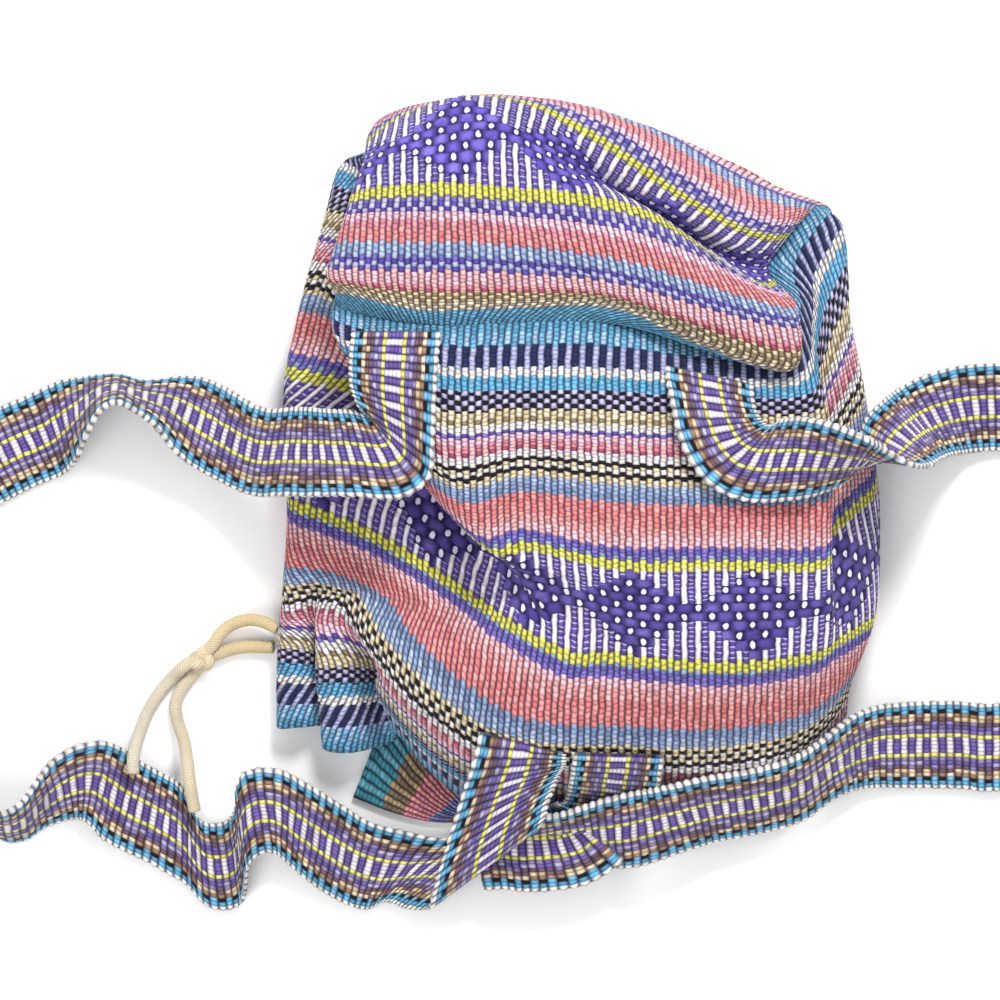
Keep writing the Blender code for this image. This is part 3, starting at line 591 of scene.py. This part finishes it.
class Shading:
    """A node tree, with short ways to add and join its nodes."""

    def __init__(self, tree):
        self.tree = tree

    def add(self, kind, **settings):
        node = self.tree.nodes.new(kind)
        for key, value in settings.items():
            setattr(node, key, value)
        return node

    def join(self, value, socket):
        """Joins a socket to another one, or gives it a number or a colour's code."""
        if isinstance(value, bpy.types.NodeSocket):
            self.tree.links.new(value, socket)
        else:
            socket.default_value = screen_colour(value) if isinstance(value, str) else value

    def filled(self, kind, values, **settings):
        """The first output of a new node whose inputs take these values in turn."""
        node = self.add(kind, **settings)
        for value, socket in zip(values, node.inputs):
            self.join(value, socket)
        return node.outputs[0]

    def maths(self, operation, *values):
        return self.filled("ShaderNodeMath", values, operation=operation)

    def plus(self, one, other):
        return self.maths("ADD", one, other)

    def minus(self, one, other):
        return self.maths("SUBTRACT", one, other)

    def times(self, one, other):
        return self.maths("MULTIPLY", one, other)

    def over(self, one, other):
        return self.maths("DIVIDE", one, other)

    def blend(self, share, first, second, kind="MIX"):
        node = self.add("ShaderNodeMix", data_type="RGBA", blend_type=kind)
        for value, place in ((share, 0), (first, 6), (second, 7)):
            self.join(value, node.inputs[place])
        return node.outputs[2]

    def between(self, value, low, high, to_low=0.0, to_high=1.0):
        return self.filled("ShaderNodeMapRange", (value, low, high, to_low, to_high))

    def pair(self, x, y, z=0.0):
        return self.filled("ShaderNodeCombineXYZ", (x, y, z))

    def scatter(self, vector):
        """A value from 0 to 1 for each whole vector."""
        return self.filled("ShaderNodeTexWhiteNoise", [vector], noise_dimensions="3D")

    def clouds(self, vector, scale, detail=2.0):
        node = self.add("ShaderNodeTexNoise")
        self.join(vector, node.inputs["Vector"])
        node.inputs["Scale"].default_value = scale
        node.inputs["Detail"].default_value = detail
        return node.outputs["Fac"]

    def stripes(self, place, entries, which):
        """The stripe's colour at a place, and whether its picks change places."""
        span = entries[-1][0]
        node = self.add("ShaderNodeValToRGB")
        ramp = node.color_ramp
        ramp.interpolation = "CONSTANT"
        ramp.elements.remove(ramp.elements[-1])
        starts = [0.0] + [entry[0] / span for entry in entries[:-1]]
        for number, (start, entry) in enumerate(zip(starts, entries)):
            stop = ramp.elements[0] if number == 0 else ramp.elements.new(start)
            stop.position = start
            stop.color = screen_colour(entry[which], float(entry[3]))
        self.join(self.over(place, span), node.inputs["Fac"])
        return node.outputs["Color"], node.outputs["Alpha"]


def new_group(name, inputs, outputs):
    """A node group whose sockets hold numbers, and colours where they are called Color."""
    group = bpy.data.node_groups.new(name, "ShaderNodeTree")
    for side, labels in (("INPUT", inputs), ("OUTPUT", outputs)):
        for label in labels:
            kind = "NodeSocketColor" if label == "Color" else "NodeSocketFloat"
            group.interface.new_socket(label, in_out=side, socket_type=kind)
    shading = Shading(group)
    return group, shading, shading.add("NodeGroupInput").outputs, shading.add("NodeGroupOutput").inputs


def bead_shape(make, along, across):
    """How high a thread is, and its painted shade, lowest in the valleys, from its places along and across
    its cell, both 0 to 1.
    """
    arch = make.maths("SINE", make.times(along, math.pi))
    crown = make.maths("SINE", make.times(across, math.pi))
    height = make.times(make.maths("POWER", arch, 0.6), make.between(crown, 0, 1, 0.55, 1))
    shade = make.times(make.between(arch, 0.12, 0.92, 0, 1), make.between(crown, 0, 0.8, 0.45, 1))
    return height, shade


def woven_cells():
    """Ribs and picks of a ribbed weave: which rib and bead a point is in, its height and its painted
    shade.
    """
    group, make, given, put = new_group(
        "Woven cells", ["Ribs", "Picks", "Level"], ["Pick", "Odd rib", "Height", "Shade", "Lot", "Middle"])
    rib = make.maths("FLOOR", given["Ribs"])
    odd = make.maths("FLOORED_MODULO", rib, 2.0)
    # Odd ribs sit half a pick lower, except where the weave is level
    step = make.times(make.times(odd, 0.5), make.minus(1.0, given["Level"]))
    shifted = make.plus(given["Picks"], step)
    bead = make.maths("FLOOR", shifted)
    height, shade = bead_shape(make, make.maths("FRACT", given["Ribs"]), make.maths("FRACT", shifted))
    lot = make.scatter(make.pair(rib, bead))
    middle = make.minus(make.plus(bead, 0.5), step)
    for value, label in ((bead, "Pick"), (odd, "Odd rib"), (height, "Height"), (shade, "Shade"),
                         (lot, "Lot"), (middle, "Middle")):
        make.join(value, put[label])
    return group


def diamond_band():
    """The brocaded band: brick-filled diamonds, and between them white bars beside purple ladders."""
    group, make, given, put = new_group(
        "Diamond band", ["Ribs", "Depth", "Dark dye"], ["Color", "Height", "Shade"])
    rib, in_rib = make.maths("FLOOR", given["Ribs"]), make.maths("FRACT", given["Ribs"])
    rows = make.over(given["Depth"], BRICK_ROW)
    row = make.maths("FLOOR", rows)
    from_edge = make.maths("MINIMUM", row, make.minus(LAST_BRICK_ROW, row))
    across = make.maths("FLOORED_MODULO", make.plus(rib, 0.5), DIAMOND_RIBS)
    from_middle = make.maths("ABSOLUTE", make.minus(across, DIAMOND_RIBS / 2))
    half_width = make.plus(make.times(from_edge, 2.0), 1.2)
    inside = make.maths("LESS_THAN", from_middle, half_width)
    # Bricks three ribs wide with a dot on every fourth rib, moved two ribs from row to row
    turned = make.plus(given["Ribs"], make.times(row, 2.0))
    turn = make.maths("FLOORED_MODULO", turned, BRICK_REPEAT)
    on_dot = make.maths("LESS_THAN", turn, 1.0)
    in_row = make.maths("FRACT", rows)
    dot_across = make.minus(in_rib, 0.5)
    dot_down = make.minus(in_row, 0.5)
    dot_reach = make.maths("SQRT", make.plus(make.times(dot_across, dot_across),
                                             make.times(make.times(dot_down, dot_down), 1.3)))
    dot = make.times(on_dot, make.between(dot_reach, 0.36, 0.50, 1, 0))
    brick_across = make.over(make.minus(turn, 1.0), BRICK_REPEAT - 1)
    brick_across = make.maths("MINIMUM", make.maths("MAXIMUM", brick_across, 0.0), 1.0)
    brick_height, brick_shade = bead_shape(make, brick_across, in_row)
    lot = make.scatter(make.pair(make.maths("FLOOR", make.over(turned, BRICK_REPEAT)), row))
    # Painted shade: the bricks blend by the painted brick shade share towards darker copies of their
    # purples
    bright = make.blend(lot, BRICK_PURPLE, BRICK_VIOLET)
    shaded_purple = make.blend(lot, SHADED_BRICK_PURPLE, SHADED_BRICK_VIOLET)
    purple = make.blend(given["Dark dye"], bright, shaded_purple)
    bricks = make.blend(dot, purple, BRICK_DOT)
    # White bars on the even ribs, and on the odd ones purple between thin white threads
    even = make.maths("LESS_THAN", make.maths("FLOORED_MODULO", rib, 2.0), 0.5)
    rung = make.maths("FRACT", make.times(rows, 2.0))
    thread = make.maths("LESS_THAN", rung, 0.28)
    ladder = make.blend(thread, RUNG_PURPLE, RUNG_WHITE)
    ground = make.blend(even, ladder, BAR_WHITE)
    make.join(make.blend(inside, ground, bricks), put["Color"])
    bar_height, bar_shade = bead_shape(make, in_rib, 0.5)
    rung_height, rung_shade = bead_shape(make, in_rib, rung)
    ground_height = make.between(even, 0, 1, make.times(rung_height, 0.6), bar_height)
    ground_shade = make.between(even, 0, 1, rung_shade, bar_shade)
    for ground_value, brick_value, label in ((ground_height, brick_height, "Height"),
                                             (ground_shade, brick_shade, "Shade")):
        raised = make.maths("MAXIMUM", brick_value, dot)
        make.join(make.between(inside, 0, 1, ground_value, raised), put[label])
    return group


def yarn_fibre():
    """Uneven dye and fibre of spun cotton, with painted shade in the valleys between ribs and beads, as a
    colour and a fine height.
    """
    group, make, given, put = new_group(
        "Yarn fibre", ["Color", "Shade", "Lot", "Ribs", "Picks"], ["Color", "Height"])
    spot = make.pair(make.times(given["Ribs"], 2.2), make.times(given["Picks"], 1.1))
    fibre = make.clouds(spot, 2.1, 3.0)
    patches = make.clouds(make.pair(given["Ribs"], given["Picks"]), 0.12, 2.0)
    uneven = make.times(make.between(fibre, 0.3, 0.7, 0.84, 1.16),
                        make.between(patches, 0.3, 0.7, 0.94, 1.05))
    light = make.times(make.between(given["Lot"], 0, 1, 0.84, 1.22), uneven)
    dyed = make.blend(1.0, given["Color"], make.pair(light, light, light), "MULTIPLY")
    # Painted shade: where Shade falls, the colour is darkened towards deep violet, in the valleys between
    # ribs and beads
    painted_valley_shade = make.blend(1.0, dyed, (0.16, 0.14, 0.22, 1), "MULTIPLY")
    make.join(make.blend(given["Shade"], painted_valley_shade, dyed), put["Color"])
    make.join(fibre, put["Height"])
    return group


def place_group(make, group, **values):
    """A group's outputs, with its inputs joined; _ stands for a blank in their names."""
    node = make.add("ShaderNodeGroup", node_tree=group)
    for label, value in values.items():
        make.join(value, node.inputs[label.replace("_", " ")])
    return node.outputs


def cloth_finish(name, roughness=0.92):
    """A new material with its Principled shader, set as matt cotton."""
    finish = bpy.data.materials.new(name)
    finish.use_nodes = True
    shader = finish.node_tree.nodes["Principled BSDF"]
    shader.inputs["Roughness"].default_value = roughness
    shader.inputs["Sheen Weight"].default_value = 0.12
    shader.inputs["Sheen Roughness"].default_value = 0.5
    shader.inputs["Specular IOR Level"].default_value = 0.2
    return finish, Shading(finish.node_tree), shader


def raise_surface(make, shader, height, depth):
    bump = make.add("ShaderNodeBump")
    bump.inputs["Strength"].default_value = 1.0
    bump.inputs["Distance"].default_value = depth
    make.join(height, bump.inputs["Height"])
    make.join(bump.outputs["Normal"], shader.inputs["Normal"])


def spin(make, shader, colour, shade, height, lot, ribs, picks, fibre, depth):
    """Gives a cloth's material its yarn, with this share of fibre in its relief."""
    yarn = place_group(make, YARN_FIBRE, Color=colour, Shade=shade, Lot=lot, Ribs=ribs, Picks=picks)
    make.join(yarn["Color"], shader.inputs["Base Color"])
    raise_surface(make, shader, make.plus(height, make.times(yarn["Height"], fibre)), depth)


def places(make, kind):
    split = make.add("ShaderNodeSeparateXYZ")
    make.join(make.add("ShaderNodeTexCoord").outputs[kind], split.inputs[0])
    return split.outputs


def uneven_places(make, depth_sway, rib_sway=0.55):
    """Rib and depth from the UV map, with the small wander that hand-beaten threads have."""
    ribs, depth = places(make, "UV")[:2]
    spot = make.pair(make.times(ribs, 0.45), make.times(depth, 0.11))
    near = make.clouds(spot, 1.0, 3.0)
    spot = make.pair(make.times(depth, 0.16), make.times(ribs, 0.7), 5.0)
    far = make.clouds(spot, 1.0, 3.0)
    return (make.plus(ribs, make.times(make.minus(near, 0.5), rib_sway)),
            make.plus(depth, make.times(make.minus(far, 0.5), depth_sway)))


def from_seam(make, depth, middle):
    """The depth counted from the nearer of the cloth's two edges."""
    from_middle = make.maths("ABSOLUTE", make.minus(depth, middle))
    return make.minus(middle, from_middle)


def striped_cloth(name, stripes, middle, band, diamond_at, painted_brick_shade):
    """Striped cloth, mirrored about its middle, whose UV map counts ribs and pixels of cloth."""
    finish, make, shader = cloth_finish(name)
    ribs, depth = uneven_places(make, depth_sway=5.0)
    picks = make.over(depth, PICK_PITCH)
    level = make.stripes(from_seam(make, depth, middle), stripes, 1)[1]
    cells = place_group(make, WOVEN_CELLS, Ribs=ribs, Picks=picks, Level=level)
    place = from_seam(make, make.times(cells["Middle"], PICK_PITCH), middle)
    even_colour, swaps = make.stripes(place, stripes, 1)
    odd_colour = make.stripes(place, stripes, 2)[0]
    moved = make.times(swaps, make.maths("ABSOLUTE", cells["Pick"]))
    swapped = make.maths("MODULO", make.plus(cells["Odd rib"], moved), 2.0)
    striped = make.blend(swapped, even_colour, odd_colour)
    brocade = place_group(make, DIAMOND_BAND, Ribs=make.plus(ribs, diamond_at),
                          Depth=make.minus(depth, band), Dark_dye=painted_brick_shade)
    in_band = make.maths("GREATER_THAN", place, float(band))
    colour = make.blend(in_band, striped, brocade["Color"])
    shade = make.between(in_band, 0, 1, cells["Shade"], brocade["Shade"])
    height = make.between(in_band, 0, 1, cells["Height"], brocade["Height"])
    spin(make, shader, colour, shade, height, cells["Lot"], ribs, picks, fibre=0.35, depth=0.0011)
    return finish


def strap_webbing():
    """The strap's pattern across its width: ladder, yellow, purple, tan, dashed blue and a white edge."""
    finish, make, shader = cloth_finish("strap_webbing")
    ribs, width = uneven_places(make, depth_sway=1.2)
    from_middle = make.maths("ABSOLUTE", make.minus(width, STRAP_WIDTH / 2))
    cells = place_group(make, WOVEN_CELLS, Ribs=ribs, Picks=make.over(from_middle, STRAP_BEAD),
                        Level=1.0)
    place = make.times(cells["Middle"], STRAP_BEAD)
    even_colour, swaps = make.stripes(place, STRAP_STRIPES, 1)
    odd_colour = make.stripes(place, STRAP_STRIPES, 2)[0]
    # Mottled zones: a bead now and then takes the other rib's colour
    chance = make.scatter(make.pair(make.maths("FLOOR", ribs), cells["Pick"], 3.0))
    changed = make.maths("GREATER_THAN", chance, 0.55)
    other = make.plus(cells["Odd rib"], make.times(swaps, changed))
    other = make.maths("FLOORED_MODULO", other, 2.0)
    colour = make.blend(other, even_colour, odd_colour)
    spin(make, shader, colour, cells["Shade"], cells["Height"], cells["Lot"], ribs,
         make.over(width, STRAP_BEAD), fibre=0.3, depth=0.0009)
    return finish


def flap_cloth():
    """The flap's stripes, counted from its free end."""
    finish, make, shader = cloth_finish("flap_cloth")
    ribs, depth = uneven_places(make, depth_sway=5.0)
    picks = make.over(depth, PICK_PITCH)
    cells = place_group(make, WOVEN_CELLS, Ribs=ribs, Picks=picks)
    place = make.times(make.plus(cells["Pick"], 0.5), PICK_PITCH)
    even_colour = make.stripes(place, FLAP_STRIPES, 1)[0]
    odd_colour = make.stripes(place, FLAP_STRIPES, 2)[0]
    colour = make.blend(cells["Odd rib"], even_colour, odd_colour)
    spin(make, shader, colour, cells["Shade"], cells["Height"], cells["Lot"], ribs, picks, fibre=0.0,
         depth=0.0009)
    return finish


def cord_cotton():
    """Fine knitted cotton, paler towards the cord's two tails."""
    finish, make, shader = cloth_finish("cord_cotton", 0.8)
    turn, run = places(make, "UV")[:2]
    lean = make.times(turn, CORD_STITCHES_ROUND)
    along = make.times(run, CORD_STITCHES_ALONG)
    one = make.maths("SINE", make.times(make.plus(along, lean), math.pi))
    other = make.maths("SINE", make.times(make.minus(along, lean), math.pi))
    stitch = make.maths("ABSOLUTE", make.times(one, other))
    to_hem = make.between(places(make, "Object")[0], *CORD_FADE)
    colour = make.blend(to_hem, PALE_CORD, WARM_CORD)
    colour = make.blend(make.between(stitch, 0, 0.4, 0.45, 0), colour, CORD_SHADOW)
    make.join(colour, shader.inputs["Base Color"])
    raise_surface(make, shader, stitch, depth=0.0005)
    return finish


# Drawstring

def tube_piece(name, route, radius, closed=False):
    """A round cord along a route in millimetres, as one tube of even size."""
    run = lengths_along(route)
    count = round(run[-1] / TUBE_STEP)
    path = points_at_lengths(route, run, np.linspace(0, run[-1], count + 1))
    ahead = np.gradient(path, axis=0)
    if closed:
        ahead[0] = ahead[-1] = path[1] - path[-2]
    ahead /= np.linalg.norm(ahead, axis=1)[:, None]
    side = np.cross(ahead[0], (0.0, 0.0, 1.0))
    turns = np.linspace(0, 2 * math.pi, TUBE_SIDES + 1)
    rows = []
    for place, way in zip(path, ahead):
        side = side - way * np.dot(side, way)
        side /= np.linalg.norm(side)
        other = np.cross(way, side)
        rows.append(place + radius * (np.cos(turns)[:, None] * side + np.sin(turns)[:, None] * other))
    rows = np.array(rows)
    lays = np.linspace(0, run[-1], len(rows)) / CORD_LAY
    piece = grid_piece(name, rows, *spread_uv(turns / (2 * math.pi) / 2, lays), closed=True)
    if not closed:
        bm = bmesh.new()
        bm.from_mesh(piece.data)
        bmesh.ops.holes_fill(bm, edges=[edge for edge in bm.edges if edge.is_boundary], sides=0)
        bmesh.ops.recalc_face_normals(bm, faces=bm.faces)
        bm.to_mesh(piece.data)
        bm.free()
    return piece, path


def knot_route():
    """One pulled-tight overhand turn round the two strands."""
    turn = np.linspace(0, 2 * math.pi, KNOT_SAMPLES)
    loop = np.stack([np.sin(turn) + 2 * np.sin(2 * turn), np.cos(turn) - 2 * np.cos(2 * turn),
                     -np.sin(3 * turn)], axis=1)
    loop *= KNOT_REACH
    lean = math.radians(KNOT_LEAN)
    x = loop[:, 0] * math.cos(lean) - loop[:, 1] * math.sin(lean)
    y = loop[:, 0] * math.sin(lean) + loop[:, 1] * math.cos(lean)
    return np.stack([x, y, loop[:, 2]], axis=1) + KNOT_CENTRE


# The camera and the studio

def make_camera():
    camera = bpy.data.objects.new("camera", bpy.data.cameras.new("camera"))
    bpy.context.collection.objects.link(camera)
    camera.location = (*CAMERA_PLACE, CAMERA_HEIGHT)
    camera.data.sensor_width = SENSOR_WIDTH
    camera.data.lens = SENSOR_WIDTH * CAMERA_HEIGHT / FIELD_WIDTH
    bpy.context.scene.camera = camera


def soft_lamp(name, place, size, power):
    """A round lamp that looks at the part's origin, in metres and watts."""
    lamp = bpy.data.objects.new(name, bpy.data.lights.new(name, "AREA"))
    bpy.context.collection.objects.link(lamp)
    lamp.data.shape = "DISK"
    lamp.data.size = size
    lamp.data.energy = power
    lamp.location = place
    lamp.rotation_euler = (-Vector(place)).to_track_quat("-Z", "Y").to_euler()


def make_studio():
    mesh = bpy.data.meshes.new("floor")
    bm = bmesh.new()
    bmesh.ops.create_grid(bm, x_segments=1, y_segments=1, size=3.0)
    bm.to_mesh(mesh)
    bm.free()
    floor = bpy.data.objects.new("floor", mesh)
    bpy.context.collection.objects.link(floor)
    floor.location = (0, 0, -FLOOR_DROP)
    paper = bpy.data.materials.new("white_paper")
    paper.use_nodes = True
    shader = paper.node_tree.nodes["Principled BSDF"]
    shader.inputs["Base Color"].default_value = (0.93, 0.93, 0.93, 1)
    shader.inputs["Roughness"].default_value = 0.9
    floor.data.materials.append(paper)
    soft_lamp("key", place=(0.25, 0.9, 1.1), size=0.45, power=20)
    soft_lamp("fill", place=(-0.7, -0.9, 1.4), size=1.2, power=11)
    world = bpy.data.worlds.new("studio")
    bpy.context.scene.world = world
    world.use_nodes = True
    background = world.node_tree.nodes["Background"]
    background.inputs["Color"].default_value = (1, 1, 1, 1)
    background.inputs["Strength"].default_value = 0.84
    bpy.context.scene.view_settings.view_transform = "Standard"


# The pieces

def dress(piece, finish, slot, *nodes):
    """Gives a piece its material and puts it in the place of the part's nodes."""
    piece.data.materials.append(finish)
    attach(piece, "root")
    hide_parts(*nodes)


def make_drawstring():
    cotton = cord_cotton()
    for name, strand, tail, nodes, shift in (
            ("drawstring_top_run", UPPER_STRAND, LEFT_TAIL,
             ("drawstring_upper", "drawstring_tail_left"), STRAND_SHIFT),
            ("drawstring_low_run", LOWER_STRAND, RIGHT_TAIL,
             ("drawstring_lower", "drawstring_tail_right"), -STRAND_SHIFT)):
        in_knot = np.add(KNOT_CENTRE, (-0.4, shift * 0.6, shift * 0.5))
        route = curve_through([*strand, in_knot, *tail], count=400)
        cord, path = tube_piece(name, route, CORD_DIAMETER / 2)
        dress(cord, cotton, "cord_cotton", *nodes)
    knot = tube_piece("drawstring_knot_turns", knot_route(), KNOT_CORD_RADIUS, closed=True)[0]
    dress(knot, cotton, "cord_cotton", "drawstring_knot")


def make_cloth(name, surface, seed, finish, node, closed=False):
    """The wall or the base."""
    points, ribs, depths = surface
    piece = grid_piece(name, ribbed(points, seed), *spread_uv(ribs, depths), closed=closed)
    give_thickness(piece, CLOTH_THICKNESS, -1)
    dress(piece, finish, name, node)


def make_straps(under):
    webbing = strap_webbing()
    for name, stations, node in (("strap_left_webbing", STRAP_LEFT, "strap_left"),
                                 ("strap_right_webbing", STRAP_RIGHT, "strap_right")):
        strap, length = make_strap(name, stations, under)
        dress(strap, webbing, "strap_webbing", node)


def make_flap():
    left = curve_through(FLAP_LEFT_SIDE, FLAP_LINES)
    right = curve_through(FLAP_RIGHT_SIDE, FLAP_LINES)
    shares = np.linspace(0, 1, 2 * FLAP_RIBS + 1)
    points = left[:, None] * (1 - shares)[:, None] + right[:, None] * shares[:, None]
    points[:, :, 2] = np.maximum(points[:, :, 2], FLAP_LOWEST)
    run = lengths_along(left)
    piece = grid_piece("flap_stripes", points, *spread_uv(shares * FLAP_RIBS, (run[-1] - run) / PIXEL))
    give_thickness(piece, FLAP_THICKNESS, 0)
    dress(piece, flap_cloth(), "flap_cloth", "flap")


WOVEN_CELLS = woven_cells()
DIAMOND_BAND = diamond_band()
YARN_FIBRE = yarn_fibre()

make_camera()
# The solid wall, taken before its node is replaced
solid_wall = BVHTree.FromObject(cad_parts["body_wall"], bpy.context.evaluated_depsgraph_get())
make_drawstring()
# Painted shade: the wall's band takes 0.9 of the darker brick copies, the base's none
make_cloth("wall_cloth", wall_surface(), seed=3.1, node="body_wall",
           closed=True, finish=striped_cloth("wall_stripes", WALL_STRIPES, middle=287, band=242,
                                             diamond_at=0, painted_brick_shade=0.9))
make_cloth("base_cloth", base_surface(), seed=8.4, node="base_panel",
           finish=striped_cloth("base_stripes", BASE_STRIPES, middle=BASE_MIDDLE, band=143,
                                diamond_at=6, painted_brick_shade=0.0))
make_straps(solid_wall)
make_flap()
make_studio()
